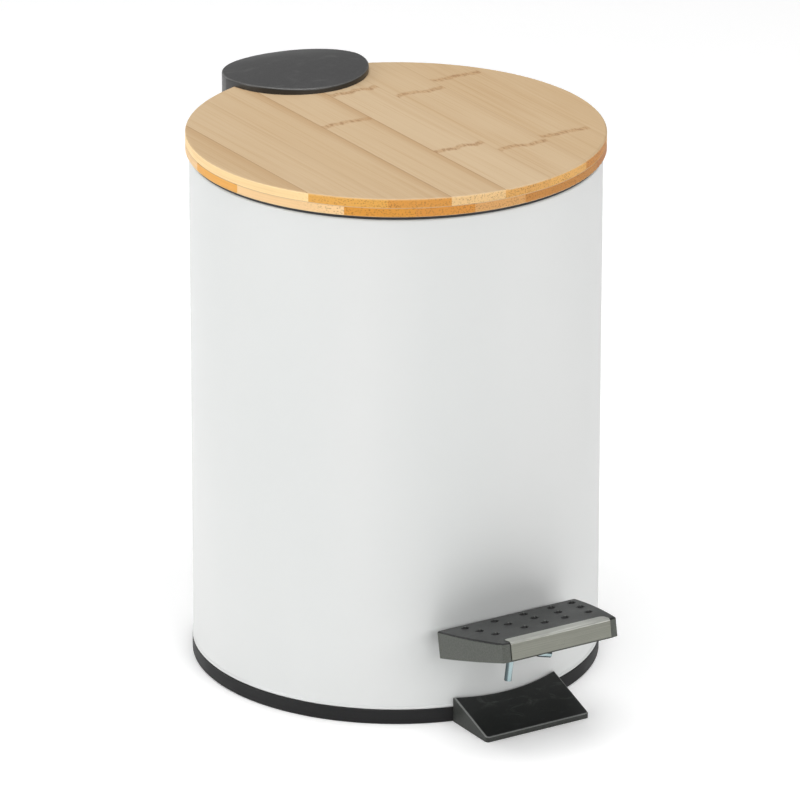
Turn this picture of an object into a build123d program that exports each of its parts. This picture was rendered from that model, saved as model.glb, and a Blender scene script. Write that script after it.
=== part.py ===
from build123d import *
import math
import os

# Pedal bin, about three litres. Millimetres, +Z up, origin on the body axis
# at the floor. The pedal is at -Y and the lid hinge at +Y.

# ---- body and base ----
BODY_RADIUS = 84.0
BODY_WALL = 0.8
BODY_BOTTOM = 6.4
BODY_TOP = 217.0
HEM_RADIUS = 84.35
HEM_TOP = 8.0
RIM_CURL = 2.2
RIM_DEPTH = 1.4
BASE_RADIUS = 84.4
BASE_RING_TOP = 6.4
BASE_FLOOR = 3.0
BASE_LIP_TOP = 12.0
BASE_LIP_WALL = 1.4
RECESS_INNER = 20.0
RECESS_OUTER = 74.0
RECESS_DEPTH = 1.4
RECESS_RIBS = 8
RECESS_RIB_WIDTH = 2.4

# ---- front foot ----
FOOT_HALF_WIDTH = 24.6
FOOT_X = 2.0
FOOT_BACK_RADIUS = 84.4
FOOT_FRONT = -107.0
FOOT_FRONT_HEIGHT = 2.2
FOOT_BACK_HEIGHT = 10.0
FOOT_EDGE = 0.8
FOOT_CORNER = 1.5

# ---- lever, its bracket and the stop wire ----
PIVOT_Y = -28.0
PIVOT_Z = 28.5
LEVER_THICK = 3.0
LEVER_TRAVEL = 12.5
LEVER_ARM = 104.0
LEVER_PIN_RADIUS = 2.0
LEVER_HUB_RADIUS = 6.0
LEVER_HUB_HALF = 4.5
LEVER_REAR_HALF = 3.6
LEVER_MIDDLE_HALF = 5.4
LEVER_SLOT_Y = -84.0
LEVER_SLOT_Z = 38.3
LEVER_SLOT_HALF = 3.0
LEVER_TIP_Y = -116.0
LEVER_TIP_Z = 43.4
LEVER_TIP_HALF = 2.6
PIN_CAP = 1.2
PIN_CAP_RADIUS = 3.3
RUNNING_FIT = 0.06
EYE_RADIUS = 5.0
EYE_SLACK = 0.75
BRACKET_HALF = 6.0
BRACKET_SHEET = 1.5
BRACKET_LENGTH = 26.0
BRACKET_FLANGE = 9.0
RIVET_RADIUS = 1.6
RIVET_HEAD = 2.9
RIVET_HEAD_HEIGHT = 1.1
RIVET_SPREAD = 8.0
STOP_WIRE_RADIUS = 1.5
STOP_WIRE_Y = -101.0
SLOT_HALF = 4.0
SLOT_BOTTOM = 22.8
SLOT_TOP = 42.6

# ---- pedal: the cover lies in its own tilted frame, back edge at y = 0, top at z = 0 ----
PEDAL_BACK = -85.1
PEDAL_BACK_TOP = 43.4
PEDAL_TILT = 10.5
PEDAL_LENGTH = 40.4
PEDAL_BACK_HALF = 33.2
PEDAL_FRONT_HALF = 27.1
PEDAL_BULGE = 1.2
PEDAL_BACK_SKIRT = 11.3
PEDAL_FRONT_SKIRT = 8.1
PEDAL_WALL = 2.0
PEDAL_CORNER = 1.2
PEDAL_EDGE = 0.8
CHEEK_WIDTH = 3.2
CHEEK_RISE = 0.9
CHEEK_EDGE = 0.35
TRIM_HALF = 23.6
TRIM_DEPTH = 5.6
TRIM_DROP = 7.5
TRIM_PROUD = 0.25
TRIM_SINK = 0.5
TRIM_GAP = 0.3
TRIM_BEND = 1.4
TRIM_CORNER = 2.0
NUB_RADIUS = 1.3
NUB_SINK = 0.45
NUB_WELL = 1.75
NUB_WELL_DEPTH = 0.25
NUB_ROWS = (
    (-5.8, (-23.0, -9.0, 4.9, 18.1, 28.0)),
    (-14.7, (-21.6, -8.0, 4.5, 15.9, 26.6)),
    (-24.5, (-20.1, -6.4, 3.3, 13.0, 24.2)),
)
PEDAL_PIN_Y = -109.0
PEDAL_PIN_Z = 42.3
PEDAL_PIN_RADIUS = 1.5
PEDAL_PIN_HALF = 3.7
PEDAL_RIB = 2.2

# ---- lift rod ----
ROD_RADIUS = 1.5
ROD_X = -4.0
ROD_Y = 76.0
ROD_BEND = 3.2
ROD_LEG = 5.2
ROD_CAP_RADIUS = 3.0
ROD_CAP_START = 2.6
ROD_CAP_END = 4.6
GUIDE_Z = 118.0
GUIDE_HEIGHT = 12.0

# ---- hinge ----
PIN_Y = 90.0
PIN_Z = 214.0
PIN_RADIUS = 2.0
PIN_HALF = 15.6
BARREL_RADIUS = 4.0
BARREL_HALF = 10.0
EAR_INNER = 10.4
EAR_OUTER = 14.0
EAR_RADIUS = 4.0
CRANK_RISE = 11.3
CRANK_THICK = 3.2
CRANK_SLACK = 0.8
NOTCH_HALF = 4.6
NOTCH_BOTTOM = 196.0
PLATE_HALF = 22.0
PLATE_THICK = 1.5
PLATE_BOTTOM = 180.0
PLATE_TOP = 217.0
HUMP_BACK = 95.5
HUMP_BOTTOM = 182.0
HUMP_TOP = 205.0
HINGE_SCREW_X = 13.0
HINGE_SCREW_Z = 188.0
SCREW_RADIUS = 1.5
SCREW_HOLE = 1.7
SCREW_HEAD = 3.0
SCREW_SLOT_HALF = 0.4
SCREW_SLOT_REACH = 1.7
INNER_PLATE_HALF = 18.0
INNER_PLATE_SHEET = 1.2
INNER_PLATE_BOTTOM = 182.0
INNER_PLATE_TOP = 212.0
LID_PLATE_FRONT = 66.0
LID_PLATE_BACK = 92.0
LID_PLATE_THICK = 1.0
HINGE_CLIP_RADIUS = 3.4
HINGE_HEAD_RADIUS = 3.2

# ---- lid ----
LID_RADIUS = 85.5
LID_BOTTOM = 218.5
LID_TOP = 226.3
LID_EDGE = 0.6
LID_JOINT_EDGE = 0.15
LID_SCREW_HEAD = 3.1
LID_SCREW_SINK = 0.2
LID_SCREW_CONE = 2.0
LID_SCREWS = ((-6.0, 70.0), (6.0, 70.0), (0.0, 79.0))

# ---- hinge cover ----
COVER_X = 2.2
COVER_FRONT = 53.8
COVER_WIDEST = 86.2
COVER_BACK = 112.0
COVER_HALF = 31.5
COVER_BOTTOM = 211.0
CROWN_TOP = 230.4
CROWN_Y = 76.5
CROWN_LENGTH_RADIUS = 139.0
CROWN_WIDTH_RADIUS = 312.0
COVER_NOTCH_HALF = 23.0
COVER_NOTCH_FRONT = 100.0
COVER_NOTCH_TOP = 221.0
COVER_NOTCH_CORNER = 3.0
COVER_WALL = 1.4
COVER_EDGE = 0.7

# ---- inner bucket and its bail ----
BUCKET_BOTTOM = 46.0
BUCKET_FOOT_RADIUS = 68.5
BUCKET_LEDGE_RADIUS = 74.4
BUCKET_COLLAR_RADIUS = 78.6
BUCKET_WALL = 1.5
BUCKET_LEDGE_Z = 205.5
FLANGE_TOP = 218.3
CHANNEL_HALF = 7.0
CHANNEL_FRONT = 65.5
BAIL_RADIUS = 75.0
BAIL_WIRE = 1.5
BAIL_Z = 207.4
BAIL_END = 80.2
BAIL_FIT = 0.08


def block(x0, x1, y0, y1, z0, z1):
    """Box between two corners."""
    size = Box(x1 - x0, y1 - y0, z1 - z0)
    return Pos((x0 + x1) / 2, (y0 + y1) / 2, (z0 + z1) / 2) * size


def disc(radius, z0, z1, x=0.0, y=0.0):
    """Upright cylinder between two heights."""
    return Pos(x, y, (z0 + z1) / 2) * Cylinder(radius, z1 - z0)


def tube(outer, inner, z0, z1):
    return disc(outer, z0, z1) - disc(inner, z0 - 1, z1 + 1)


def bar_x(radius, x0, x1, y, z):
    """Cylinder along X."""
    turned = Rot(0, 90, 0) * Cylinder(radius, x1 - x0)
    return Pos((x0 + x1) / 2, y, z) * turned


def bar_y(radius, y0, y1, x, z):
    """Cylinder along Y."""
    turned = Rot(90, 0, 0) * Cylinder(radius, y1 - y0)
    return Pos(x, (y0 + y1) / 2, z) * turned


def cone_up(low, high, z0, z1, x=0.0, y=0.0):
    return Pos(x, y, (z0 + z1) / 2) * Cone(low, high, z1 - z0)


def slab_x(points, x0, x1):
    """Side profile of (y, z) points, stretched along X."""
    outline = make_face(Plane.YZ * Polyline(*points, close=True))
    return Pos(x0, 0, 0) * extrude(outline, x1 - x0, dir=(1, 0, 0))


def wire(points, radius, bend):
    """Round wire along a bent line."""
    path = FilletPolyline(*points, radius=bend)
    start = Plane(origin=path @ 0, z_dir=path % 0)
    return sweep(start * Circle(radius), path=path)


def turned(points):
    """Body of revolution from (radius, z) points."""
    outline = make_face(Plane.XZ * Polyline(*points, close=True))
    return revolve(outline, Axis.Z)


def base_pan():
    lip_outer = BODY_RADIUS - BODY_WALL
    lip_inner = lip_outer - BASE_LIP_WALL
    pan = turned([
        (0, 0),
        (BASE_RADIUS - 0.5, 0),
        (BASE_RADIUS, 0.5),
        (BASE_RADIUS, BASE_RING_TOP - 0.35),
        (BASE_RADIUS - 0.35, BASE_RING_TOP),
        (lip_outer, BASE_RING_TOP),
        (lip_outer, BASE_LIP_TOP - 0.5),
        (lip_outer - 0.5, BASE_LIP_TOP),
        (lip_inner, BASE_LIP_TOP),
        (lip_inner, BASE_FLOOR),
        (0, BASE_FLOOR),
    ])
    recess = tube(RECESS_OUTER, RECESS_INNER, -1, RECESS_DEPTH)
    for i in range(RECESS_RIBS):
        rib = block(0, BASE_RADIUS, -RECESS_RIB_WIDTH / 2, RECESS_RIB_WIDTH / 2, -2, RECESS_DEPTH + 1)
        recess -= Rot(0, 0, 360 / RECESS_RIBS * (i + 0.5)) * rib
    for x, y in rivet_spots():
        pan -= disc(RIVET_RADIUS, BASE_FLOOR - 1.5, BASE_FLOOR + 1, x, y)
    return pan - recess


def front_foot():
    left = FOOT_X - FOOT_HALF_WIDTH
    right = FOOT_X + FOOT_HALF_WIDTH
    rear = -math.sqrt(FOOT_BACK_RADIUS ** 2 - right ** 2) + 1.0
    foot = block(left, right, FOOT_FRONT, rear, 0, FOOT_BACK_HEIGHT + 6)
    front_edges = foot.edges().filter_by(Axis.Z).sort_by(Axis.Y)[:2]
    foot = fillet(front_edges, FOOT_CORNER)
    slope = (FOOT_BACK_HEIGHT - FOOT_FRONT_HEIGHT) / (-FOOT_BACK_RADIUS - FOOT_FRONT)
    above = 5.0
    beyond = rear + 20
    foot -= slab_x([
        (FOOT_FRONT - above, FOOT_FRONT_HEIGHT - above * slope),
        (beyond, FOOT_BACK_HEIGHT + (beyond + FOOT_BACK_RADIUS) * slope),
        (beyond, 60),
        (FOOT_FRONT - above, 60),
    ], -60, 60)
    foot -= disc(FOOT_BACK_RADIUS, -1, 60)
    crest = FOOT_FRONT_HEIGHT - 1
    top = [e for e in foot.edges() if e.center().Z > crest and abs(e.tangent_at(0.5).Z) < 0.8]
    return fillet(top, FOOT_EDGE)


def body_shell():
    shell = turned([
        (BODY_RADIUS - BODY_WALL, BODY_BOTTOM),
        (HEM_RADIUS - 0.4, BODY_BOTTOM),
        (HEM_RADIUS, BODY_BOTTOM + 0.4),
        (HEM_RADIUS, HEM_TOP - 0.6),
        (BODY_RADIUS, HEM_TOP),
        (BODY_RADIUS, BODY_TOP - 1.0),
        (BODY_RADIUS - 0.12, BODY_TOP - 0.5),
        (BODY_RADIUS - 0.5, BODY_TOP - 0.12),
        (BODY_RADIUS - 1.0, BODY_TOP),
        (BODY_RADIUS - RIM_CURL, BODY_TOP),
        (BODY_RADIUS - RIM_CURL, BODY_TOP - RIM_DEPTH),
        (BODY_RADIUS - RIM_CURL + 0.8, BODY_TOP - RIM_DEPTH),
        (BODY_RADIUS - BODY_WALL, BODY_TOP - 0.8),
    ])
    slot = block(-SLOT_HALF, SLOT_HALF, -BODY_RADIUS - 5, -60, SLOT_BOTTOM, SLOT_TOP)
    slot = fillet(slot.edges().filter_by(Axis.Y), 2.0)
    shell -= slot
    shell -= block(-NOTCH_HALF, NOTCH_HALF, 60, 100, NOTCH_BOTTOM, BODY_TOP + 5)
    for side in (-1, 1):
        shell -= bar_y(SCREW_HOLE, 60, 100, side * HINGE_SCREW_X, HINGE_SCREW_Z)
    return shell


def lever_profile():
    """Side outline of the pressed lever bar."""
    rear_z = PIVOT_Z - LEVER_ARM * math.sin(math.radians(LEVER_TRAVEL / 2))
    rear_y = ROD_Y
    line = [
        (rear_y, rear_z, LEVER_REAR_HALF),
        (PIVOT_Y, PIVOT_Z, LEVER_MIDDLE_HALF),
        (LEVER_SLOT_Y, LEVER_SLOT_Z, LEVER_SLOT_HALF),
        (LEVER_TIP_Y, LEVER_TIP_Z, LEVER_TIP_HALF),
    ]
    upper = [(y, z + half) for y, z, half in line]
    lower = [(y, z - half) for y, z, half in reversed(line)]
    return upper + lower, rear_y, rear_z


def pedal_lever():
    outline, rear_y, rear_z = lever_profile()
    half = LEVER_THICK / 2
    lever = slab_x(outline, -half, half)
    lever += bar_x(EYE_RADIUS, -half, half, rear_y, rear_z)
    lever -= bar_x(ROD_RADIUS + EYE_SLACK, -10, 10, rear_y, rear_z)
    lever += bar_x(LEVER_HUB_RADIUS, -LEVER_HUB_HALF, LEVER_HUB_HALF, PIVOT_Y, PIVOT_Z)
    lever -= bar_x(LEVER_PIN_RADIUS + RUNNING_FIT, -10, 10, PIVOT_Y, PIVOT_Z)
    lever -= bar_x(PEDAL_PIN_RADIUS, -10, 10, PEDAL_PIN_Y, PEDAL_PIN_Z)
    return lever


def bracket_plate(x0, x1):
    y0 = PIVOT_Y - BRACKET_LENGTH / 2
    y1 = PIVOT_Y + BRACKET_LENGTH / 2
    return block(x0, x1, y0, y1, BASE_FLOOR, BASE_FLOOR + BRACKET_SHEET)


def lever_bracket():
    long = BRACKET_LENGTH / 2
    inner = BRACKET_HALF - BRACKET_SHEET
    reach = BRACKET_HALF + BRACKET_FLANGE
    floor = bracket_plate(-reach, reach)
    cheek = slab_x([
        (PIVOT_Y - long, BASE_FLOOR),
        (PIVOT_Y + long, BASE_FLOOR),
        (PIVOT_Y + 6, PIVOT_Z + 6),
        (PIVOT_Y - 6, PIVOT_Z + 6),
    ], inner, BRACKET_HALF)
    bracket = floor + cheek + Pos(-inner - BRACKET_HALF, 0, 0) * cheek
    bracket -= bar_x(LEVER_PIN_RADIUS, -20, 20, PIVOT_Y, PIVOT_Z)
    for x, y in rivet_spots():
        bracket -= disc(RIVET_RADIUS, 0, 20, x, y)
    return bracket


def rivet_spots():
    reach = BRACKET_HALF + BRACKET_FLANGE / 2
    return [(sx * reach, PIVOT_Y + sy * RIVET_SPREAD) for sx in (-1, 1) for sy in (-1, 1)]


def bracket_rivets():
    rivets = []
    seat = BASE_FLOOR + BRACKET_SHEET
    for x, y in rivet_spots():
        shank = disc(RIVET_RADIUS, BASE_FLOOR - 1.5, seat, x, y)
        head = disc(RIVET_HEAD, seat, seat + RIVET_HEAD_HEIGHT, x, y)
        head = fillet(head.edges().sort_by(Axis.Z)[-1], 0.8)
        rivets.append(shank + head)
    return Compound(children=rivets)


def lever_pin():
    reach = BRACKET_HALF + PIN_CAP
    pin = bar_x(LEVER_PIN_RADIUS, -reach, reach, PIVOT_Y, PIVOT_Z)
    for start in (-reach, BRACKET_HALF):
        pin += bar_x(PIN_CAP_RADIUS, start, start + PIN_CAP, PIVOT_Y, PIVOT_Z)
    return pin


def stop_wire():
    y = STOP_WIRE_Y
    points = [
        (11.2, y, 29.4),
        (5.4, y, 31.0),
        (-0.6, y, 36.6),
        (-7.2, y, 36.6),
        (-9.0, y, 22.3),
    ]
    return wire(points, STOP_WIRE_RADIUS, 2.6)


def in_pedal_frame(shape):
    return Pos(0, PEDAL_BACK, PEDAL_BACK_TOP) * Rot(-PEDAL_TILT, 0, 0) * shape


def pedal_outline(inset):
    """Plan of the pedal: straight back, bowed sides, two cheeks and a straight front."""
    a = PEDAL_BACK_HALF - inset
    b = PEDAL_FRONT_HALF - inset
    corner = -PEDAL_LENGTH + inset
    face = corner - CHEEK_RISE
    inner = b - CHEEK_WIDTH
    bow = (a + b) / 2 + PEDAL_BULGE
    middle = (corner - inset) / 2
    return make_face([
        Line((-a, -inset), (a, -inset)),
        ThreePointArc((a, -inset), (bow, middle), (b, corner)),
        Line((b, corner), (inner, face)),
        Line((inner, face), (-inner, face)),
        Line((-inner, face), (-b, corner)),
        ThreePointArc((-b, corner), (-bow, middle), (-a, -inset)),
    ])


def pedal_block():
    """Solid pedal with its rounded edges, before it is hollowed."""
    solid = Pos(0, 0, -30) * extrude(pedal_outline(0.0), 30, dir=(0, 0, 1))
    upright = solid.edges().filter_by(Axis.Z).sort_by(Axis.Y)
    solid = fillet(upright[-2:], PEDAL_CORNER)
    upright = solid.edges().filter_by(Axis.Z).sort_by(Axis.Y)
    solid = fillet(upright[2:4], CHEEK_EDGE)
    high = [e for e in solid.edges() if e.center().Z > -0.01]
    return fillet(high, PEDAL_EDGE)


def trim_zone(gap):
    """Bent strip over the front edge: a lip on the top and a face down the front."""
    face = -PEDAL_LENGTH - CHEEK_RISE
    half = TRIM_HALF + gap
    lip_end = face + TRIM_DEPTH + gap
    zone = block(-half, half, face - 5, lip_end, -TRIM_DROP - gap, 5)
    back_corners = zone.edges().filter_by(Axis.Z).sort_by(Axis.Y)[-2:]
    zone = fillet(back_corners, TRIM_CORNER)
    return zone - block(-60, 60, face + TRIM_SINK, 10, -60, -TRIM_SINK)


def nub_spots():
    return [(x, y) for y, row in NUB_ROWS for x in row]


def pedal_rib(side):
    """Rib beside the lever, under the top of the pedal."""
    x0 = side * LEVER_THICK / 2
    x1 = side * (LEVER_THICK / 2 + PEDAL_RIB)
    rise = math.tan(math.radians(PEDAL_TILT))
    back = PEDAL_BACK - 1
    front = PEDAL_BACK - PEDAL_LENGTH + 3
    return slab_x([
        (back, PEDAL_BACK_TOP - 1),
        (front, PEDAL_BACK_TOP - 1 + (PEDAL_BACK - front) * rise),
        (front, PEDAL_PIN_Z + 1.7),
        (PEDAL_PIN_Y - 3.5, PEDAL_PIN_Z - 1.7),
        (PEDAL_PIN_Y + 5.0, PEDAL_PIN_Z - 2.1),
        (PEDAL_PIN_Y + 5.0, PEDAL_PIN_Z + 0.3),
        (PEDAL_PIN_Y + 13.0, PEDAL_PIN_Z - 1.1),
        (back, PEDAL_PIN_Z - 2.9),
    ], min(x0, x1), max(x0, x1))


def pedal_cover():
    outer = pedal_block()
    hollow = Pos(0, 0, -PEDAL_WALL - 40) * extrude(pedal_outline(PEDAL_WALL), 40, dir=(0, 0, 1))
    beyond = 20
    taper = (PEDAL_BACK_SKIRT - PEDAL_FRONT_SKIRT) / PEDAL_LENGTH * beyond
    skirt = slab_x([
        (beyond, -PEDAL_BACK_SKIRT - taper),
        (-PEDAL_LENGTH - beyond, -PEDAL_FRONT_SKIRT + taper),
        (-PEDAL_LENGTH - beyond, -80),
        (beyond, -80),
    ], -60, 60)
    lever_gap = block(-LEVER_HUB_HALF, LEVER_HUB_HALF, -3.0, 3.0, -40, -1.4)
    cover = outer - hollow - skirt - lever_gap
    cover -= trim_zone(TRIM_GAP)
    for x, y in nub_spots():
        cover -= disc(NUB_WELL, -NUB_WELL_DEPTH, 5, x, y)
        cover += Pos(x, y, -NUB_SINK) * Sphere(NUB_RADIUS)
    cover = in_pedal_frame(cover)
    for side in (-1, 1):
        cover += pedal_rib(side)
    return cover - bar_x(PEDAL_PIN_RADIUS, -PEDAL_PIN_HALF, PEDAL_PIN_HALF, PEDAL_PIN_Y, PEDAL_PIN_Z)


def pedal_trim():
    face = -PEDAL_LENGTH - CHEEK_RISE
    skin = block(-TRIM_HALF, TRIM_HALF, face - TRIM_PROUD, 10, -TRIM_DROP, TRIM_PROUD)
    bend = [e for e in skin.edges().filter_by(Axis.X) if e.center().Y < face and e.center().Z > 0]
    skin = fillet(bend, TRIM_BEND)
    return in_pedal_frame(skin & trim_zone(0.0))


def pedal_pin():
    return bar_x(PEDAL_PIN_RADIUS, -PEDAL_PIN_HALF, PEDAL_PIN_HALF, PEDAL_PIN_Y, PEDAL_PIN_Z)


def rod_ends():
    low = PIVOT_Z - LEVER_ARM * math.sin(math.radians(LEVER_TRAVEL / 2))
    return low, PIN_Z - CRANK_RISE


def lift_rod():
    low, high = rod_ends()
    reach = ROD_LEG
    points = [
        (reach, ROD_Y, low),
        (ROD_X, ROD_Y, low),
        (ROD_X, ROD_Y, high),
        (reach, ROD_Y, high),
    ]
    return wire(points, ROD_RADIUS, ROD_BEND)


def rod_clips():
    """Push-on caps that keep the rod's bent ends in their eyes."""
    caps = []
    for z in rod_ends():
        cap = bar_x(ROD_CAP_RADIUS, ROD_CAP_START, ROD_CAP_END, ROD_Y, z)
        caps.append(cap - bar_x(ROD_RADIUS, 0, 8, ROD_Y, z))
    return Compound(children=caps)


def rod_guide():
    """Bent tab on the rear inside wall with a bore for the rod."""
    z0 = GUIDE_Z
    z1 = GUIDE_Z + GUIDE_HEIGHT
    tab = disc(BODY_RADIUS - BODY_WALL, z0, z1) - disc(BODY_RADIUS - BODY_WALL - 1.2, z0 - 1, z1 + 1)
    tab &= block(-6.4, 6.4, 60, 90, z0, z1)
    arm = block(-6.4, 0.4, ROD_Y - 3.6, 82.2, z0, z0 + 2.0)
    guide = tab + arm
    return guide - disc(ROD_RADIUS + RUNNING_FIT, z0 - 5, z1 + 5, ROD_X, ROD_Y)


def hinge_base():
    plate = disc(BODY_RADIUS + PLATE_THICK, PLATE_BOTTOM, PLATE_TOP)
    plate &= block(-PLATE_HALF, PLATE_HALF, 60, 100, PLATE_BOTTOM, PLATE_TOP)
    hump = block(-PLATE_HALF + 3, PLATE_HALF - 3, 70, HUMP_BACK, HUMP_BOTTOM, HUMP_TOP)
    hump = fillet(hump.edges().filter_by(Axis.Z).sort_by(Axis.Y)[-2:], 5.0)
    back_edges = [e for e in hump.edges().filter_by(Axis.X) if e.center().Y > HUMP_BACK - 1]
    hump = chamfer(back_edges, 3.0)
    base = plate + hump
    for side in (-1, 1):
        x0 = min(side * EAR_INNER, side * EAR_OUTER)
        x1 = max(side * EAR_INNER, side * EAR_OUTER)
        ear = bar_x(EAR_RADIUS, x0, x1, PIN_Y, PIN_Z)
        ear += slab_x([
            (78, PIN_Z - EAR_RADIUS),
            (PIN_Y, PIN_Z - EAR_RADIUS),
            (PIN_Y, PIN_Z + 2.6),
            (78, PIN_Z + 2.6),
        ], x0, x1)
        base += ear
    base -= disc(BODY_RADIUS, 100, 260)
    base -= bar_x(PIN_RADIUS, -30, 30, PIN_Y, PIN_Z)
    base -= block(-NOTCH_HALF, NOTCH_HALF, 60, 88.5, NOTCH_BOTTOM, 240)
    for side in (-1, 1):
        base -= bar_y(SCREW_RADIUS, 60, 92, side * HINGE_SCREW_X, HINGE_SCREW_Z)
    return base


def hinge_inner_plate():
    inner = BODY_RADIUS - BODY_WALL
    plate = disc(inner, INNER_PLATE_BOTTOM, INNER_PLATE_TOP) - disc(inner - INNER_PLATE_SHEET, 100, 260)
    plate &= block(-INNER_PLATE_HALF, INNER_PLATE_HALF, 60, 100, INNER_PLATE_BOTTOM, INNER_PLATE_TOP)
    notch = NOTCH_HALF + 0.6
    plate -= block(-notch, notch, 60, 100, NOTCH_BOTTOM - 0.6, 240)
    for side in (-1, 1):
        plate -= bar_y(SCREW_HOLE, 60, 100, side * HINGE_SCREW_X, HINGE_SCREW_Z)
    return plate


def hinge_base_screws():
    screws = []
    z = HINGE_SCREW_Z
    thin = SCREW_SLOT_HALF
    wide = SCREW_SLOT_REACH
    for side in (-1, 1):
        x = side * HINGE_SCREW_X
        inner = BODY_RADIUS - BODY_WALL - INNER_PLATE_SHEET
        seat = math.sqrt(inner ** 2 - (abs(x) + SCREW_HEAD) ** 2) - 0.02
        shank = bar_y(SCREW_RADIUS, seat - 0.5, 91.0, x, z)
        head = bar_y(SCREW_HEAD, seat - 2.0, seat, x, z)
        head = fillet(head.edges().sort_by(Axis.Y)[0], 1.2)
        cross = block(x - thin, x + thin, seat - 3, seat - 1.1, z - wide, z + wide)
        cross += block(x - wide, x + wide, seat - 3, seat - 1.1, z - thin, z + thin)
        screws.append(shank + head - cross)
    return Compound(children=screws)


def hinge_pin():
    pin = bar_x(PIN_RADIUS, -PIN_HALF, PIN_HALF, PIN_Y, PIN_Z)
    head = bar_x(HINGE_HEAD_RADIUS, -PIN_HALF, -PIN_HALF + 1.2, PIN_Y, PIN_Z)
    return pin + fillet(head.edges().sort_by(Axis.X)[0], 0.6)


def hinge_pin_clip():
    start = EAR_OUTER + 0.1
    clip = bar_x(HINGE_CLIP_RADIUS, start, start + 1.0, PIN_Y, PIN_Z)
    clip -= bar_x(PIN_RADIUS, start - 1, start + 3, PIN_Y, PIN_Z)
    return clip - block(start - 1, start + 3, PIN_Y - 0.8, PIN_Y + 0.8, PIN_Z - 6, PIN_Z)


def crank():
    """Arm below the hinge barrel that the lift rod pushes on."""
    angle = math.degrees(math.atan2(CRANK_RISE, PIN_Y - ROD_Y))
    near = PIN_Y - ROD_Y
    far = near / math.cos(math.radians(angle))
    slot_half = ROD_RADIUS + CRANK_SLACK
    half = CRANK_THICK / 2
    root = bar_x(BARREL_RADIUS, -half, half, 0, 0)
    web = block(-half, half, -far, 0, -slot_half - 1.6, slot_half + 1.6)
    tip = bar_x(slot_half + 1.6, -half, half, -far, 0)
    arm = root + web + tip
    arm -= block(-5, 5, -far, -near, -slot_half, slot_half)
    arm -= bar_x(slot_half, -5, 5, -far, 0)
    arm -= bar_x(slot_half, -5, 5, -near, 0)
    return Pos(0, PIN_Y, PIN_Z) * Rot(angle, 0, 0) * arm


def lid_hinge():
    top = LID_TOP + LID_PLATE_THICK
    plate = block(-BARREL_HALF, BARREL_HALF, LID_PLATE_FRONT, LID_PLATE_BACK, LID_TOP, top)
    plate = fillet(plate.edges().filter_by(Axis.Z).sort_by(Axis.Y)[:2], 3.0)
    drop = block(-BARREL_HALF, BARREL_HALF, LID_RADIUS + 0.6, LID_PLATE_BACK, PIN_Z + 0.6, top)
    barrel = bar_x(BARREL_RADIUS, -BARREL_HALF, BARREL_HALF, PIN_Y, PIN_Z)
    hinge = plate + drop + barrel + crank()
    hinge -= bar_x(PIN_RADIUS + RUNNING_FIT, -30, 30, PIN_Y, PIN_Z)
    for x, y in LID_SCREWS:
        hinge -= disc(SCREW_RADIUS, LID_TOP - 5, LID_TOP + 3, x, y)
    return hinge


def lid_screw_seat(x, y):
    low = LID_BOTTOM + LID_SCREW_SINK
    return cone_up(LID_SCREW_HEAD, SCREW_RADIUS, low, LID_BOTTOM + LID_SCREW_CONE, x, y)


def lid_hinge_screws():
    screws = []
    thin = SCREW_SLOT_HALF
    wide = SCREW_SLOT_REACH
    low = LID_BOTTOM - 1
    high = LID_BOTTOM + 0.9
    for x, y in LID_SCREWS:
        shank = disc(SCREW_RADIUS, LID_BOTTOM + 1.5, LID_TOP + LID_PLATE_THICK - 0.2, x, y)
        slot = block(x - thin, x + thin, y - wide, y + wide, low, high)
        slot += block(x - wide, x + wide, y - thin, y + thin, low, high)
        screws.append(shank + lid_screw_seat(x, y) - slot)
    return Compound(children=screws)


def lid_lower_ply():
    middle = (LID_BOTTOM + LID_TOP) / 2
    ply = disc(LID_RADIUS, LID_BOTTOM, middle)
    ply = fillet(ply.edges().sort_by(Axis.Z)[0], LID_EDGE)
    ply = chamfer(ply.edges().sort_by(Axis.Z)[-1], LID_JOINT_EDGE)
    for x, y in LID_SCREWS:
        ply -= disc(SCREW_RADIUS, LID_BOTTOM - 1, LID_TOP + 1, x, y)
        ply -= lid_screw_seat(x, y)
        ply -= disc(LID_SCREW_HEAD, LID_BOTTOM - 1, LID_BOTTOM + LID_SCREW_SINK, x, y)
    return ply


def lid_upper_ply():
    middle = (LID_BOTTOM + LID_TOP) / 2
    ply = disc(LID_RADIUS, middle, LID_TOP)
    ply = fillet(ply.edges().sort_by(Axis.Z)[-1], LID_EDGE)
    ply = chamfer(ply.edges().sort_by(Axis.Z)[0], LID_JOINT_EDGE)
    for x, y in LID_SCREWS:
        ply -= disc(SCREW_RADIUS, LID_BOTTOM - 1, LID_TOP + 1, x, y)
    return ply


def cover_plan(inset):
    """Two arcs that meet at the cover's widest place, one towards the front and one towards the back."""
    half = COVER_HALF - inset
    left = (-half, COVER_WIDEST)
    right = (half, COVER_WIDEST)
    plan = make_face([
        ThreePointArc(left, (0, COVER_FRONT + inset), right),
        ThreePointArc(right, (0, COVER_BACK - inset), left),
    ])
    return plan


def crown_barrel(inset):
    """Solid under the crowned top: an arc along Y swept about an axis along Y far below."""
    length = CROWN_LENGTH_RADIUS - inset
    width = CROWN_WIDTH_RADIUS - inset
    reach = 60.0
    low = CROWN_TOP - CROWN_WIDTH_RADIUS
    drop = length - math.sqrt(length ** 2 - reach ** 2)
    top = low + width
    start = (0, CROWN_Y - reach, top - drop)
    end = (0, CROWN_Y + reach, top - drop)
    profile = make_face([
        ThreePointArc(start, (0, CROWN_Y, top), end),
        Line(end, (0, CROWN_Y + reach, low)),
        Line((0, CROWN_Y + reach, low), (0, CROWN_Y - reach, low)),
        Line((0, CROWN_Y - reach, low), start),
    ])
    return revolve(profile, Axis((0, 0, low), (0, 1, 0)))


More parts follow.
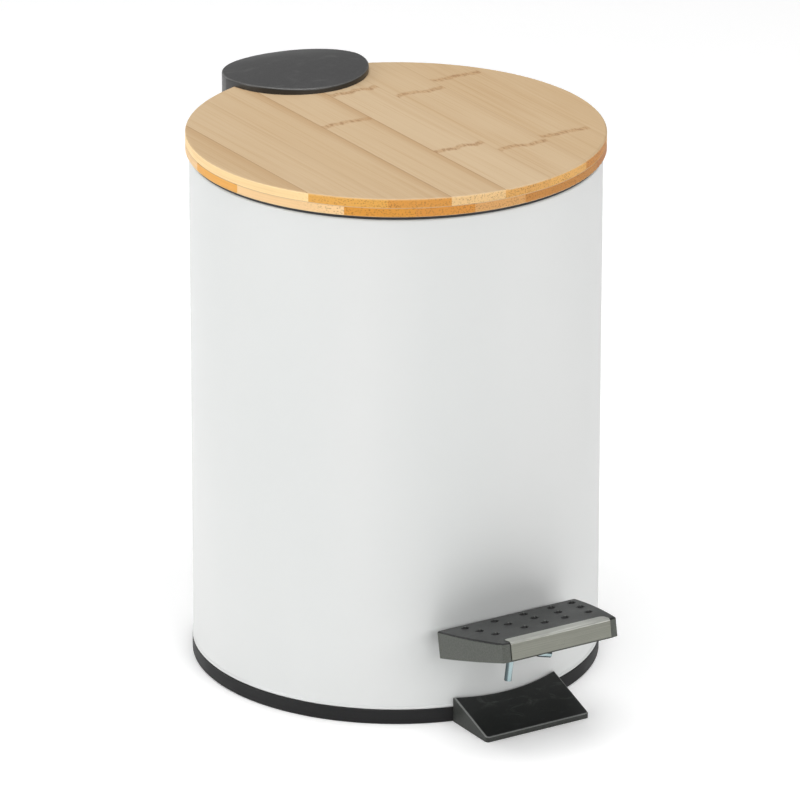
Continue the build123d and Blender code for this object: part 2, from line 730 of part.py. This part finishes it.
def cover_body(inset, bottom):
    solid = Pos(0, 0, bottom) * extrude(cover_plan(inset), 60, dir=(0, 0, 1))
    return Pos(COVER_X, 0, 0) * (solid & crown_barrel(inset))


def hinge_cover():
    outer = cover_body(0.0, COVER_BOTTOM)
    high = [e for e in outer.edges() if e.center().Z > COVER_BOTTOM + 8]
    high = [e for e in high if abs(e.tangent_at(0.5).Z) < 0.8]
    outer = fillet(high, COVER_EDGE)
    cover = outer - cover_body(COVER_WALL, COVER_BOTTOM - 1)
    cover -= disc(LID_RADIUS + 0.3, 200, LID_TOP)
    half = COVER_NOTCH_HALF
    notch = block(-half, half, COVER_NOTCH_FRONT, COVER_BACK + 5, COVER_BOTTOM - 5, COVER_NOTCH_TOP)
    notch = fillet(notch.edges().filter_by(Axis.Y).sort_by(Axis.Z)[-2:], COVER_NOTCH_CORNER)
    return cover - notch


def inner_bucket():
    wall = BUCKET_WALL
    floor = BUCKET_BOTTOM
    ledge = BUCKET_LEDGE_Z
    outer = turned([
        (0, floor),
        (BUCKET_FOOT_RADIUS, floor),
        (BUCKET_LEDGE_RADIUS, ledge - wall),
        (BUCKET_COLLAR_RADIUS, ledge - wall),
        (BUCKET_COLLAR_RADIUS, BODY_TOP),
        (BODY_RADIUS - 0.2, BODY_TOP),
        (BODY_RADIUS - 0.2, FLANGE_TOP),
        (0, FLANGE_TOP),
    ])
    inner = turned([
        (0, floor + wall),
        (BUCKET_FOOT_RADIUS - wall, floor + wall),
        (BUCKET_LEDGE_RADIUS - wall, ledge),
        (BUCKET_COLLAR_RADIUS - wall, ledge),
        (BUCKET_COLLAR_RADIUS - wall, FLANGE_TOP + 1),
        (0, FLANGE_TOP + 1),
    ])
    channel_out = block(-CHANNEL_HALF, CHANNEL_HALF, CHANNEL_FRONT, 100, 0, 260)
    channel_in = block(-CHANNEL_HALF - wall, CHANNEL_HALF + wall, CHANNEL_FRONT - wall, 100, 0, 260)
    bucket = (outer - channel_out) - (inner - channel_in)
    for side in (-1, 1):
        x0 = min(side * 60, side * 82)
        x1 = max(side * 60, side * 82)
        bucket -= bar_x(BAIL_WIRE + BAIL_FIT, x0, x1, 0, BAIL_Z)
    return bucket


def bucket_bail():
    arc_start = 6.0
    a = math.radians(arc_start)
    corner = BAIL_RADIUS * math.cos(a)
    drop = -BAIL_RADIUS * math.sin(a)
    bow = ThreePointArc((-corner, drop, BAIL_Z), (0, -BAIL_RADIUS, BAIL_Z), (corner, drop, BAIL_Z))
    start = Plane(origin=bow @ 0, z_dir=bow % 0)
    bail = sweep(start * Circle(BAIL_WIRE), path=bow)
    for side in (-1, 1):
        points = [
            (side * corner, drop, BAIL_Z),
            (side * corner, 0, BAIL_Z),
            (side * BAIL_END, 0, BAIL_Z),
        ]
        bail += wire(points, BAIL_WIRE, 1.9)
        bail += Pos(side * corner, drop, BAIL_Z) * Sphere(BAIL_WIRE)
    return bail


NODES = {
    "base_pan": base_pan,
    "front_foot": front_foot,
    "body_shell": body_shell,
    "lever_bracket": lever_bracket,
    "bracket_rivets": bracket_rivets,
    "lever_pin": lever_pin,
    "pedal_lever": pedal_lever,
    "stop_wire": stop_wire,
    "pedal_cover": pedal_cover,
    "pedal_trim": pedal_trim,
    "pedal_pin": pedal_pin,
    "lift_rod": lift_rod,
    "rod_clips": rod_clips,
    "rod_guide": rod_guide,
    "hinge_base": hinge_base,
    "hinge_inner_plate": hinge_inner_plate,
    "hinge_base_screws": hinge_base_screws,
    "hinge_pin": hinge_pin,
    "hinge_pin_clip": hinge_pin_clip,
    "lid_hinge": lid_hinge,
    "lid_hinge_screws": lid_hinge_screws,
    "hinge_cover": hinge_cover,
    "lid_lower_ply": lid_lower_ply,
    "lid_upper_ply": lid_upper_ply,
    "inner_bucket": inner_bucket,
    "bucket_bail": bucket_bail,
}

os.makedirs("parts", exist_ok=True)
for name, build in NODES.items():
    export_step(build(), f"parts/{name}.step")
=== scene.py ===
import bpy
import math
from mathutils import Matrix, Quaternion, Vector


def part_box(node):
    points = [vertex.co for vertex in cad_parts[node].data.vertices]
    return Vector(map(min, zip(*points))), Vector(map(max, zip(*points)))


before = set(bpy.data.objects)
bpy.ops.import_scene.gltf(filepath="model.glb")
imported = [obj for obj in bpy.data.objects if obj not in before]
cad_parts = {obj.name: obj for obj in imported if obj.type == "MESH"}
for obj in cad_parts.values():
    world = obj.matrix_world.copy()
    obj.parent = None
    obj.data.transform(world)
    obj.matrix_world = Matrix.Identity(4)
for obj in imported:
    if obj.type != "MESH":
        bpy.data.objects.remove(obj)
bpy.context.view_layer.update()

MM = 0.001

# ---- the bamboo strips and the lid, in metres ----
STRIP = 23.0 * MM              # width of one bamboo strip
UPPER_FIRST_SEAM = -93.5 * MM  # a seam left of the upper ply; the others follow at one strip each
LOWER_FIRST_SEAM = -107.0 * MM  # the same, left of the lower ply
LID_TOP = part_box("lid_upper_ply")[1][2]

# ---- upper ply, strip by strip from the left ----
STRIP_LIGHT = (0.15, 0.60, 0.40, 0.60, 0.95, 0.60, 0.25, 0.05)  # how light the strip is
SEAM_DARK = (0.75, 0.25, 0.85, 0.85, 0.20, 0.25, 0.20, 0.20)    # how dark the seam on its right is
NODE_MARKS = (                                                  # strip number, and place along Y in mm
    (3, 17.0), (4, -32.5), (4, 49.5), (5, 34.5), (5, -44.0), (6, 44.0), (6, -39.0),
)

# ---- tones of the cut edge, strip by strip from the left ----
UPPER_EDGE = (
    (240, 206, 150), (214, 158, 72), (206, 142, 58), (222, 184, 128),
    (210, 157, 84), (218, 165, 88), (194, 128, 46), (218, 176, 114),
)
LOWER_EDGE = (
    (224, 162, 74), (230, 192, 140), (206, 140, 46), (204, 136, 50), (204, 152, 90),
    (184, 124, 54), (184, 124, 52), (180, 114, 44), (196, 136, 70),
)

# ---- scales of the bamboo's patterns: features per metre along X, Y and Z ----
FIBRE = (1500.0, 14.0, 900.0)
BAND = (260.0, 5.0, 200.0)
BLOTCH = (60.0, 16.0, 0.0)
DASH = (800.0, 260.0, 0.0)
END_DOT = (1500.0, 0.0, 1500.0)
DOT_DENSITY = (90.0, 0.0, 500.0)
EDGE_LINE = (0.0, 22.0, 1900.0)
WOBBLE_ACROSS = 200.0
WOBBLE_PER_STRIP = 3.7
WOBBLE_HEIGHT = 7.0 * MM

# ---- each strip's grain starts at its own place: seed, and farthest shift in metres ----
SHIFT_SEED = 7.13
SHIFT_REACH = 3.0

# ---- pedal nubs, row by row from the back: place along Y, then the places along X, in mm ----
NUB_ROWS = (
    (-90.8, (-23.0, -9.0, 4.9, 18.1, 28.0)),
    (-99.5, (-21.6, -8.0, 4.5, 15.9, 26.6)),
    (-109.2, (-20.1, -6.4, 3.3, 13.0, 24.2)),
)
NUBS = tuple((x, y) for y, row in NUB_ROWS for x in row)
NUB_HIGHLIGHT = (0.2 * MM, 0.6 * MM)        # the painted highlight on a nub's top fades out between these distances
NUB_SHADE_IN = (0.35 * MM, 0.75 * MM)  # the painted shade in a ring around a nub fades in
NUB_SHADE_OUT = (1.5 * MM, 1.9 * MM)   # and out

# ---- moulded plastics: node, material, tones of top, side and edge,
# ---- then roughness, size and depth of the grain in mm, and gloss ----
# a lighter edge tone is a painted highlight on the rounded edges
PLASTICS = (
    ("base_pan", "black_base_plastic", (27, 27, 28), (27, 27, 28), (46, 46, 46), 0.5, 0.35, 0.006, 0.25),
    ("front_foot", "black_foot_plastic", (32, 34, 33), (60, 62, 59), (128, 130, 128), 0.42, 0.4, 0.012, 0.3),
    ("inner_bucket", "black_bucket_plastic", (34, 34, 35), (34, 34, 35), (38, 38, 38), 0.44, 0.45, 0.008, 0.4),
    # the cover's top tone, far lighter than its sides, is a painted sheen on the dome's top
    ("hinge_cover", "black_cover_plastic", (78, 78, 78), (30, 30, 29), (96, 96, 95), 0.34, 0.45, 0.02, 0.6),
    ("hinge_base", "black_housing_plastic", (44, 44, 45), (50, 50, 50), (50, 50, 50), 0.48, 0.45, 0.02, 0.4),
    ("pedal_cover", "grey_pedal_plastic", (60, 62, 61), (86, 89, 83), (26, 26, 26), 0.48, 0.5, 0.03, 0.4),
)
ZINC_NODES = (
    "lever_bracket", "bracket_rivets", "lever_pin", "pedal_lever", "stop_wire", "pedal_pin",
    "lift_rod", "rod_clips", "rod_guide", "hinge_inner_plate", "hinge_base_screws", "hinge_pin",
    "hinge_pin_clip", "lid_hinge", "lid_hinge_screws", "bucket_bail",
)

# ---- camera ----
CAM_AZIMUTH = -31.6
CAM_ELEVATION = 21.02
CAM_ROLL = 0.05
CAM_DISTANCE = 3.108
CAM_AIM = (0.0, 0.0, 109.2 * MM)
CAM_LENS = 340.6
CAM_SENSOR = 36.0
CAM_SHIFT = (0.0052, -0.0019)
CAM_FAR = 50.0

# ---- floor, world brightness on the left and right, and soft boxes with name, place, aim, width, height, watts
FLOOR_HALF = 6.0
FLOOR_GAP = 0.05 * MM          # keeps the floor from coinciding with the base
FLOOR_GLOW = 0.22
WORLD_LEFT = 0.30
WORLD_RIGHT = 0.15
SOFT_LIGHTS = (
    ("left", (-1.6, 0.3, 0.5), (0, 0, 0.12), 0.8, 1.2, 12.5),
    ("top", (0.0, 0.0, 2.2), (0, 0, 0.1), 1.8, 1.8, 31.0),
    ("front", (0.2, -2.0, 0.85), (0, -0.05, 0.08), 1.6, 0.6, 19.0),
    ("back", (-0.3, 2.0, 1.0), (0, 0, 0.12), 1.6, 0.8, 4.0),
)


class Graph:
    """A material's node tree, built a node at a time."""

    def __init__(self, name):
        self.material = bpy.data.materials.new(name)
        self.material.use_nodes = True
        self.tree = self.material.node_tree
        self.tree.nodes.clear()
        self.output = self.tree.nodes.new("ShaderNodeOutputMaterial")
        self.shader = self.add("ShaderNodeBsdfPrincipled")
        self.tree.links.new(self.shader.outputs[0], self.output.inputs["Surface"])
        self.coords = self.add("ShaderNodeTexCoord")
        self.place = self.coords.outputs["Object"]
        self.facing = self.coords.outputs["Normal"]

    def add(self, kind, **settings):
        node = self.tree.nodes.new(kind)
        for key, value in settings.items():
            setattr(node, key, value)
        return node

    def feed(self, socket, value):
        if hasattr(value, "is_output"):
            self.tree.links.new(value, socket)
        else:
            socket.default_value = value

    def math(self, operation, a, b=None, c=None):
        node = self.add("ShaderNodeMath", operation=operation)
        for socket, value in zip(node.inputs, (a, b, c)):
            if value is not None:
                self.feed(socket, value)
        return node.outputs[0]

    def split(self, vector):
        node = self.add("ShaderNodeSeparateXYZ")
        self.feed(node.inputs[0], vector)
        return node.outputs

    def join(self, x, y, z):
        node = self.add("ShaderNodeCombineXYZ")
        for socket, value in zip(node.inputs, (x, y, z)):
            self.feed(socket, value)
        return node.outputs[0]

    def scaled(self, parts, scale):
        """Joins three values into a vector, each times its own scale."""
        return self.join(*(self.math("MULTIPLY", part, number) for part, number in zip(parts, scale)))

    def stretch(self, vector, scale):
        node = self.add("ShaderNodeVectorMath", operation="MULTIPLY")
        self.feed(node.inputs[0], vector)
        self.feed(node.inputs[1], scale)
        return node.outputs[0]

    def noise(self, vector, scale, detail=4.0, roughness=0.55, distortion=0.0):
        node = self.add("ShaderNodeTexNoise")
        self.feed(node.inputs["Vector"], vector)
        self.feed(node.inputs["Scale"], scale)
        self.feed(node.inputs["Detail"], detail)
        self.feed(node.inputs["Roughness"], roughness)
        self.feed(node.inputs["Distortion"], distortion)
        return node.outputs["Fac"]

    def cells(self, vector, scale):
        node = self.add("ShaderNodeTexVoronoi")
        self.feed(node.inputs["Vector"], vector)
        self.feed(node.inputs["Scale"], scale)
        return node.outputs["Distance"]

    def random(self, value):
        node = self.add("ShaderNodeTexWhiteNoise", noise_dimensions="1D")
        self.feed(node.inputs["W"], value)
        return node.outputs["Value"]

    def lookup(self, number, values):
        """The value at a whole number's place in the list, or 0 outside the list."""
        total = 0.0
        for i, value in enumerate(values):
            here = self.math("COMPARE", number, float(i), 0.1)
            total = self.math("MULTIPLY_ADD", here, value, total)
        return total

    def ramp(self, value, low, high, to_low=0.0, to_high=1.0):
        """Smooth step from to_low, at low, to to_high, at high."""
        node = self.add("ShaderNodeMapRange", interpolation_type="SMOOTHSTEP")
        for socket, number in zip(node.inputs, (value, low, high, to_low, to_high)):
            self.feed(socket, number)
        return node.outputs[0]

    def mix(self, factor, a, b):
        node = self.add("ShaderNodeMix", data_type="RGBA")
        self.feed(node.inputs[0], factor)
        self.feed(node.inputs[6], a)
        self.feed(node.inputs[7], b)
        return node.outputs[2]

    def bump(self, height, distance, strength=1.0, base=None):
        node = self.add("ShaderNodeBump")
        self.feed(node.inputs["Strength"], strength)
        self.feed(node.inputs["Distance"], distance)
        self.feed(node.inputs["Height"], height)
        if base is not None:
            self.feed(node.inputs["Normal"], base)
        return node.outputs[0]

    def finish(self, color, roughness, normal=None, **constants):
        self.feed(self.shader.inputs["Base Color"], color)
        self.feed(self.shader.inputs["Roughness"], roughness)
        if normal is not None:
            self.feed(self.shader.inputs["Normal"], normal)
        for key, value in constants.items():
            self.shader.inputs[key.replace("_", " ")].default_value = value
        return self.material


def rgb(r, g, b):
    """Linear colour from display values of 0 to 255."""
    def linear(v):
        v = v / 255.0
        return v / 12.92 if v <= 0.04045 else ((v + 0.055) / 1.055) ** 2.4
    return (linear(r), linear(g), linear(b), 1.0)


def painted_steel():
    """White powder coat, with a very slight orange peel."""
    g = Graph("white_powder_coat")
    peel_scale = 900.0
    speck_scale = 2600.0
    wave_scale = (14.0, 14.0, 3.0)
    peel_depth = 0.02 * MM
    wave_depth = 0.4 * MM
    peel = g.noise(g.place, peel_scale, 3.0, 0.5)
    wave = g.noise(g.stretch(g.place, wave_scale), 1.0, 2.0, 0.5)
    speck = g.noise(g.place, speck_scale, 2.0, 0.6)
    color = g.mix(g.ramp(wave, 0.3, 0.7), rgb(208, 210, 209), rgb(212, 213, 212))
    color = g.mix(g.ramp(speck, 0.66, 0.8, 0.0, 0.10), color, rgb(190, 192, 192))
    rough = g.ramp(wave, 0.3, 0.7, 0.36, 0.42)
    normal = g.bump(wave, wave_depth, 0.25)
    normal = g.bump(peel, peel_depth, 0.35, normal)
    return g.finish(color, rough, normal, Coat_Weight=0.15, Coat_Roughness=0.25)


def nub_distance(g, nubs):
    """Distance in the XY plane from the nearest nub."""
    nearest = 1.0
    x, y, z = g.split(g.place)
    for spot_x, spot_y in nubs:
        dx = g.math("SUBTRACT", x, spot_x * MM)
        dy = g.math("SUBTRACT", y, spot_y * MM)
        reach = g.math("SQRT", g.math("MULTIPLY_ADD", dx, dx, g.math("MULTIPLY", dy, dy)))
        nearest = g.math("MINIMUM", nearest, reach)
    return nearest


def moulded_plastic(name, top_tone, side_tone, edge_tone, rough, grain_mm, depth_mm, gloss, nubs=()):
    """Moulded plastic: a smoother top, a spark-eroded grain on the sides, sloped and rounded edges in a
    separate tone that is a painted highlight where it is lighter, uneven gloss, pale scuffs on the top, and a
    little dust. Each nub has a painted highlight on its top and painted shade in a ring around it."""
    g = Graph(name)
    cloud_scale = 35.0
    dust_scale = 1500.0
    scuff_scale = (90.0, 160.0, 90.0)
    black = rgb(8, 8, 8)
    up = g.split(g.facing)[2]
    side = g.ramp(up, 0.40, 0.55, 1.0, 0.0)
    grain = g.noise(g.place, 1.0 / (grain_mm * MM), 3.0, 0.6)
    pits = g.cells(g.place, 0.7 / (grain_mm * MM))
    cloud = g.noise(g.place, cloud_scale, 4.0, 0.6)
    relief = g.math("MULTIPLY_ADD", pits, 0.6, grain)
    tone = g.mix(side, top_tone, side_tone)
    # sloped and rounded edges take a separate tone; where it is lighter than top and side, it is a painted
    # highlight
    edge = g.math("MULTIPLY", g.ramp(up, 0.30, 0.45), g.ramp(up, 0.86, 0.95, 1.0, 0.0))
    tone = g.mix(edge, tone, edge_tone)
    darker = g.mix(0.35, tone, black)
    color = g.mix(g.ramp(grain, 0.35, 0.7), darker, tone)
    scuffs = g.ramp(g.noise(g.stretch(g.place, scuff_scale), 1.0, 6.0, 0.75, 1.2), 0.52, 0.80, 0.0, 0.22)
    scuffs = g.math("MULTIPLY", scuffs, g.math("SUBTRACT", 1.0, side))
    color = g.mix(scuffs, color, rgb(140, 140, 138))
    dust = g.noise(g.place, dust_scale, 2.0, 0.7)
    color = g.mix(g.ramp(dust, 0.74, 0.86, 0.0, 0.2), color, rgb(150, 150, 148))
    gloss_map = g.ramp(cloud, 0.3, 0.7, rough - 0.05, rough + 0.05)
    roughness = g.math("MULTIPLY_ADD", side, 0.06, gloss_map)
    if nubs:
        # painted shade in a ring around each nub and a painted highlight on its top, placed by distance in XY
        # alone
        nearest = nub_distance(g, nubs)
        inner = g.ramp(nearest, *NUB_SHADE_IN)
        outer = g.ramp(nearest, *NUB_SHADE_OUT, 1.0, 0.0)
        nub_shade = g.math("MULTIPLY", inner, outer)
        color = g.mix(g.math("MULTIPLY", nub_shade, 0.93), color, black)
        nub_highlight = g.ramp(nearest, *NUB_HIGHLIGHT, 0.6, 0.0)
        color = g.mix(nub_highlight, color, rgb(120, 121, 118))
    height = g.math("MULTIPLY", relief, g.math("MULTIPLY_ADD", side, 0.6, 0.4))
    normal = g.bump(height, depth_mm * MM, 0.7)
    return g.finish(color, roughness, normal, Specular_IOR_Level=gloss)


def brushed_trim():
    """Metal with fine scratches along X, and a painted highlight on its top."""
    g = Graph("brushed_trim_metal")
    scratch_length = 40.0 * MM
    scratch_width = 0.12 * MM
    scratch_scale = (1.0 / scratch_length, 1.0 / scratch_width, 1.0 / scratch_width)
    cloud_scale = 120.0
    scratch_depth = 0.01 * MM
    tone = rgb(148, 149, 139)
    top_tone = rgb(206, 207, 200)
    dark = tuple(c * 0.72 for c in tone[:3]) + (1.0,)
    lines = g.noise(g.stretch(g.place, scratch_scale), 1.0, 4.0, 0.65)
    cloud = g.noise(g.place, cloud_scale, 3.0, 0.6)
    color = g.mix(g.ramp(lines, 0.3, 0.7), dark, tone)
    # the top is painted lighter: a painted highlight where the lip catches the light
    top_highlight = g.ramp(g.split(g.facing)[2], 0.35, 0.6)
    color = g.mix(top_highlight, color, top_tone)
    roughness = g.math("MULTIPLY_ADD", lines, 0.16, g.ramp(cloud, 0.3, 0.7, 0.20, 0.32))
    normal = g.bump(lines, scratch_depth, 0.5)
    return g.finish(color, roughness, normal, Metallic=1.0, Anisotropic=0.5)


def zinc_plate():
    """Bright zinc plating, a little blue, with painted shade on the sides that face along X, and a few dull
    spots.
    """
    g = Graph("zinc_plate")
    spot_scale = 300.0
    cloud_scale = 60.0
    spot_depth = 0.01 * MM
    spots = g.noise(g.place, spot_scale, 4.0, 0.65)
    cloud = g.noise(g.place, cloud_scale, 3.0, 0.6)
    color = g.mix(g.ramp(cloud, 0.3, 0.7), rgb(142, 164, 168), rgb(178, 194, 196))
    # painted shade: faces turned along X get much darker, standing in for the dark edges of a round wire
    side = g.ramp(g.math("ABSOLUTE", g.split(g.facing)[0]), 0.45, 0.85, 0.0, 0.85)
    color = g.mix(side, color, rgb(52, 60, 62))
    color = g.mix(g.ramp(spots, 0.62, 0.78, 0.0, 0.4), color, rgb(130, 142, 144))
    rough = g.ramp(spots, 0.3, 0.75, 0.14, 0.28)
    normal = g.bump(spots, spot_depth, 0.3)
    return g.finish(color, rough, normal, Metallic=1.0)


def node_marks(g, color, x, y, number, marks):
    """Adds a faint warm band with a ragged row of short dark dashes at each mark."""
    reach_near = 0.6 * MM
    reach_far = 2.6 * MM
    dashes = g.ramp(g.noise(g.scaled((x, y, 0.0), DASH), 1.0, 3.0, 0.75), 0.46, 0.58)
    wobble_place = g.scaled((x, number, 0.0), (WOBBLE_ACROSS, WOBBLE_PER_STRIP, 0.0))
    wobble = g.noise(wobble_place, 1.0, 3.0, 0.6)
    total = 0.0
    for strip_number, spot in marks:
        here = g.math("COMPARE", number, float(strip_number), 0.1)
        middle = g.math("MULTIPLY_ADD", wobble, WOBBLE_HEIGHT, spot * MM - WOBBLE_HEIGHT / 2)
        offset = g.math("SUBTRACT", y, middle)
        near = g.ramp(g.math("ABSOLUTE", offset), reach_near, reach_far, 1.0, 0.0)
        total = g.math("MAXIMUM", total, g.math("MULTIPLY", here, near))
    color = g.mix(g.math("MULTIPLY", total, 0.35), color, rgb(186, 140, 90))
    spots = g.math("MULTIPLY", total, dashes)
    return g.mix(g.math("MULTIPLY", spots, 0.5), color, rgb(140, 96, 56))


def cut_edge(g, x, y, z, number, edge_tones):
    """End grain with dots where the round cut crosses the fibres, and lines where it follows them."""
    across = g.math("ABSOLUTE", g.split(g.facing)[1])
    end_amount = g.ramp(across, 0.45, 0.75)
    cut = rgb(*edge_tones[0])
    for i, shade in enumerate(edge_tones[1:], 1):
        cut = g.mix(g.math("COMPARE", number, float(i), 0.1), cut, rgb(*shade))
    dots = g.ramp(g.cells(g.scaled((x, 0.0, z), END_DOT), 1.0), 0.18, 0.50, 1.0, 0.0)
    density = g.ramp(g.noise(g.scaled((x, 0.0, z), DOT_DENSITY), 1.0, 2.0, 0.5), 0.35, 0.65, 0.45, 0.95)
    cut_dark = g.mix(0.7, cut, rgb(104, 58, 14))
    rim_highlight_tone = g.mix(0.35, cut, rgb(250, 228, 184))
    end_grain = g.mix(g.math("MULTIPLY", dots, density), cut, cut_dark)
    lines = g.ramp(g.noise(g.scaled((0.0, y, z), EDGE_LINE), 1.0, 4.0, 0.6), 0.4, 0.7)
    long_grain = g.mix(g.math("MULTIPLY", lines, 0.18), cut, cut_dark)
    edge = g.mix(end_amount, long_grain, end_grain)
    # painted highlight: a light line along the eased top edge of the cut face
    rim_highlight = g.ramp(g.math("SUBTRACT", LID_TOP, z), 0.3 * MM, 0.9 * MM, 0.6, 0.0)
    return g.mix(rim_highlight, edge, rim_highlight_tone)


def bamboo(name, first_seam, edge_tones, marks):
    """Glued bamboo strips that run along Y, each with its own lightness and grain."""
    g = Graph(name)
    fibre_depth = 0.04 * MM
    light = rgb(213, 187, 151)
    middle = rgb(205, 175, 135)
    dark = rgb(182, 142, 96)
    x, y, z = g.split(g.place)
    strip = g.math("DIVIDE", g.math("SUBTRACT", x, first_seam), STRIP)
    number = g.math("FLOOR", strip)
    inside = g.math("FRACT", strip)
    shift = g.math("MULTIPLY", g.random(g.math("ADD", number, SHIFT_SEED)), SHIFT_REACH)
    along = g.math("ADD", y, shift)

    # fibres, from fine to broad
    fibre = g.noise(g.scaled((x, along, z), FIBRE), 1.0, 5.0, 0.62)
    band = g.noise(g.scaled((x, along, z), BAND), 1.0, 3.0, 0.6, 0.2)
    blotch = g.noise(g.scaled((x, along, 0.0), BLOTCH), 1.0, 2.0, 0.5)
    color = g.mix(g.lookup(number, STRIP_LIGHT), middle, light)
    color = g.mix(g.ramp(band, 0.45, 0.75, 0.0, 0.26), color, dark)
    color = g.mix(g.ramp(fibre, 0.48, 0.75, 0.0, 0.30), color, dark)
    color = g.mix(g.ramp(blotch, 0.40, 0.75, 0.0, 0.45), color, light)

    # seams: a strip darkens towards the glue line on its right, and the line itself is thin and brown
    glue = g.lookup(number, SEAM_DARK)
    fade = g.ramp(inside, 0.72, 1.0, 0.0, 0.55)
    color = g.mix(g.math("MULTIPLY", glue, fade), color, dark)
    seam = g.math("MULTIPLY", g.ramp(inside, 0.980, 0.994), glue)
    color = g.mix(g.math("MULTIPLY", seam, 0.75), color, rgb(150, 108, 68))

    color = node_marks(g, color, x, y, number, marks)
    upright = g.ramp(g.math("ABSOLUTE", g.split(g.facing)[2]), 0.35, 0.75, 1.0, 0.0)
    color = g.mix(upright, color, cut_edge(g, x, y, z, number, edge_tones))

    rough = g.ramp(fibre, 0.3, 0.75, 0.46, 0.60)
    relief = g.math("SUBTRACT", g.math("MULTIPLY", fibre, -0.5), g.math("MULTIPLY", seam, 0.8))
    normal = g.bump(relief, fibre_depth, 0.5)
    return g.finish(color, rough, normal, Specular_IOR_Level=0.4)


def dress(node, material):
    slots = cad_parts[node].data.materials
    if len(slots) == 0:
        slots.append(material)
    for i in range(len(slots)):
        slots[i] = material


def dress_all():
    dress("body_shell", painted_steel())
    for node, name, top, side, edge, rough, grain, depth, gloss in PLASTICS:
        nubs = NUBS if node == "pedal_cover" else ()
        dress(node, moulded_plastic(name, rgb(*top), rgb(*side), rgb(*edge), rough, grain, depth, gloss, nubs))
    dress("pedal_trim", brushed_trim())
    zinc = zinc_plate()
    for node in ZINC_NODES:
        dress(node, zinc)
    dress("lid_upper_ply", bamboo("bamboo_upper", UPPER_FIRST_SEAM, UPPER_EDGE, NODE_MARKS))
    dress("lid_lower_ply", bamboo("bamboo_lower", LOWER_FIRST_SEAM, LOWER_EDGE, ()))


def pale_floor():
    """Plain pale floor, just below the base."""
    half = FLOOR_HALF
    low = -FLOOR_GAP
    mesh = bpy.data.meshes.new("floor")
    corners = [(-half, -half, low), (half, -half, low), (half, half, low), (-half, half, low)]
    mesh.from_pydata(corners, [], [(0, 1, 2, 3)])
    floor = bpy.data.objects.new("floor", mesh)
    bpy.context.scene.collection.objects.link(floor)
    g = Graph("pale_floor")
    cloud = g.noise(g.place, 3.0, 2.0, 0.5)
    color = g.mix(cloud, rgb(246, 246, 246), rgb(250, 250, 250))
    mesh.materials.append(g.finish(color, 0.7, None, Specular_IOR_Level=0.1, Emission_Strength=FLOOR_GLOW))


def surround():
    """White world, brighter on the left."""
    world = bpy.data.worlds.new("studio")
    bpy.context.scene.world = world
    world.use_nodes = True
    tree = world.node_tree
    background = tree.nodes["Background"]
    background.inputs[0].default_value = (1.0, 1.0, 1.0, 1.0)
    direction = tree.nodes.new("ShaderNodeTexCoord")
    parts = tree.nodes.new("ShaderNodeSeparateXYZ")
    tree.links.new(direction.outputs["Generated"], parts.inputs[0])
    slope = tree.nodes.new("ShaderNodeMapRange")
    tree.links.new(parts.outputs[0], slope.inputs[0])
    for socket, number in zip(slope.inputs[1:], (-1.0, 1.0, WORLD_LEFT, WORLD_RIGHT)):
        socket.default_value = number
    tree.links.new(slope.outputs[0], background.inputs[1])


def soft_lights():
    for name, place, aim, width, height, power in SOFT_LIGHTS:
        lamp = bpy.data.lights.new(name, "AREA")
        lamp.shape = "RECTANGLE"
        lamp.size = width
        lamp.size_y = height
        lamp.energy = power
        holder = bpy.data.objects.new(name, lamp)
        bpy.context.scene.collection.objects.link(holder)
        holder.location = place
        holder.rotation_euler = (Vector(aim) - Vector(place)).to_track_quat("-Z", "Y").to_euler()


def camera():
    """Camera on a circle about the aim point, at the given azimuth and elevation."""
    a = math.radians(CAM_AZIMUTH)
    e = math.radians(CAM_ELEVATION)
    away = Vector((math.sin(a) * math.cos(e), -math.cos(a) * math.cos(e), math.sin(e)))
    data = bpy.data.cameras.new("camera")
    data.lens = CAM_LENS
    data.sensor_width = CAM_SENSOR
    data.shift_x, data.shift_y = CAM_SHIFT
    data.clip_end = CAM_FAR
    holder = bpy.data.objects.new("camera", data)
    bpy.context.scene.collection.objects.link(holder)
    holder.location = Vector(CAM_AIM) + away * CAM_DISTANCE
    level = (-away).to_track_quat("-Z", "Y")
    roll = Quaternion((0.0, 0.0, 1.0), math.radians(CAM_ROLL))
    holder.rotation_euler = (level @ roll).to_euler()
    bpy.context.scene.camera = holder


dress_all()
pale_floor()
surround()
soft_lights()
camera()
bpy.context.scene.view_settings.view_transform = "Standard"
